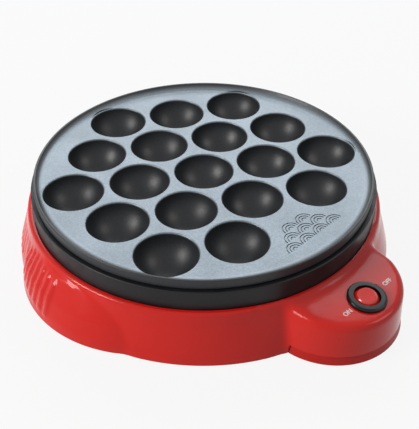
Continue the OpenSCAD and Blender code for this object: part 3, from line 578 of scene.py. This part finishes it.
# The floor between the cups is greyer and shinier (metallic) than the lip, the walls and the cups, which are
# painted near-black as painted shade
inside_lip = spread(nodes, links, radius.outputs["Value"], 0, 1, FLOOR_R + 0.0012, FLOOR_R - 0.0008)
above_cups = spread(nodes, links, parts.outputs["Z"], 0, 1, -0.0011, -0.0003)
on_floor = reckoned(nodes, links, "MULTIPLY", inside_lip, above_cups)
speckle = noise(nodes, links, 1100, 3)
floor_tone = two_tone(nodes, links, speckle, (0.145, 0.170, 0.190), (0.18, 0.208, 0.230), 0.4, 0.62)
# Near-black painted shade for the lip, the walls and the cups
painted_shade_tone = two_tone(nodes, links, speckle, (0.011, 0.0125, 0.015), (0.018, 0.020, 0.023), 0.4, 0.62)
coat = nodes.new("ShaderNodeMix")
coat.data_type = "RGBA"
links.new(on_floor, coat.inputs["Factor"])
links.new(painted_shade_tone, coat.inputs["A"])
links.new(floor_tone, coat.inputs["B"])
links.new(coat.outputs["Result"], shader.inputs["Base Color"])
# Only the floor is metallic, so the painted-shade lip, walls and cups mirror little of the window
links.new(reckoned(nodes, links, "MULTIPLY", on_floor, 0.85), shader.inputs["Metallic"])
links.new(spread(nodes, links, noise(nodes, links, 35, 5), 0.36, 0.44), shader.inputs["Roughness"])
relief(nodes, links, noise(nodes, links, 650, 3), shader, 0.00006)
shader.inputs["Specular IOR Level"].default_value = 0.42
dress("grill_plate", coated)

# ---------------------------------------------------------------------------
# Floor and light: a plain pale table with a soft window behind the cooker, a
# soft lamp at the camera's left, a weak one at its right, and a white background.
# ---------------------------------------------------------------------------



def looked_at(nodes, links):
    """1 for what the camera sees directly, in a gloss or through glass, and else 0."""
    path = nodes.new("ShaderNodeLightPath")
    glossy, through = path.outputs["Is Glossy Ray"], path.outputs["Is Transmission Ray"]
    beyond = reckoned(nodes, links, "MAXIMUM", glossy, through)
    return reckoned(nodes, links, "MAXIMUM", path.outputs["Is Camera Ray"], beyond)


bpy.ops.object.select_all(action="DESELECT")
bpy.ops.mesh.primitive_plane_add(size=6, location=(0, 0, 0))
floor = bpy.context.object
floor.name = "floor"
paper, nodes, links, shader = new_finish("floor_paper")
shader.inputs["Base Color"].default_value = (0.6, 0.595, 0.59, 1)
shader.inputs["Roughness"].default_value = 0.7
glow = nodes.new("ShaderNodeEmission")
glow.inputs["Color"].default_value = (1, 1, 1, 1)
# Mostly white to look at, with enough of the paper left to keep the cooker's shadow
blend_floor = nodes.new("ShaderNodeMixShader")
links.new(reckoned(nodes, links, "MULTIPLY", looked_at(nodes, links), 0.88), blend_floor.inputs["Fac"])
links.new(shader.outputs["BSDF"], blend_floor.inputs[1])
links.new(glow.outputs["Emission"], blend_floor.inputs[2])
links.new(blend_floor.outputs["Shader"], nodes["Material Output"].inputs["Surface"])
floor.data.materials.append(paper)


def soft_lamp(name, at, towards, size, power, colour=(1, 1, 1)):
    """A square soft box that looks at a point."""
    bpy.ops.object.light_add(type="AREA", location=at)
    lamp = bpy.context.object
    lamp.name = name
    lamp.data.shape = "RECTANGLE"
    lamp.data.size, lamp.data.size_y = size
    lamp.data.energy = power
    lamp.data.color = colour
    lamp.rotation_euler = (Vector(towards) - Vector(at)).to_track_quat("-Z", "Y").to_euler()
    return lamp


soft_lamp("window", (0.75, 0.8, 0.85), (0, 0, 0.05), (1.3, 0.9), 10, (0.92, 0.96, 1.0))
soft_lamp("key", (-1.1, 0.42, 0.62), (0, 0, 0.02), (0.6, 0.6), 13.5, (1.0, 0.98, 0.96))
soft_lamp("fill", (0.8, -0.9, 1.1), (0, 0, 0.02), (0.7, 0.6), 3.6, (1.0, 0.97, 0.95))

world = bpy.data.worlds.new("studio")
world.use_nodes = True
bpy.context.scene.world = world
nodes, links = world.node_tree.nodes, world.node_tree.links
sky = nodes["Background"]
sky.inputs["Color"].default_value = (0.95, 0.97, 1.0, 1)
sky.inputs["Strength"].default_value = 0.22
backdrop = nodes.new("ShaderNodeBackground")
backdrop.inputs["Color"].default_value = (1, 1, 1, 1)
backdrop.inputs["Strength"].default_value = 1.0
choose = nodes.new("ShaderNodeMixShader")
links.new(looked_at(nodes, links), choose.inputs["Fac"])
links.new(sky.outputs["Background"], choose.inputs[1])
links.new(backdrop.outputs["Background"], choose.inputs[2])
links.new(choose.outputs["Shader"], nodes["World Output"].inputs["Surface"])

# ---------------------------------------------------------------------------
# Camera: from the front left, 38 degrees above the table.
# ---------------------------------------------------------------------------

camera_at = Vector((-0.2986, -0.3034, 0.3579))
camera_forward = Vector((0.542, 0.567, -0.620))
bpy.ops.object.camera_add(location=camera_at)
camera = bpy.context.object
camera.name = "camera"
camera.rotation_euler = camera_forward.to_track_quat("-Z", "Y").to_euler()
camera.data.lens = 68.9
camera.data.sensor_width = 36
camera.data.clip_start = 0.01
bpy.context.scene.camera = camera
bpy.context.scene.view_settings.view_transform = "Standard"
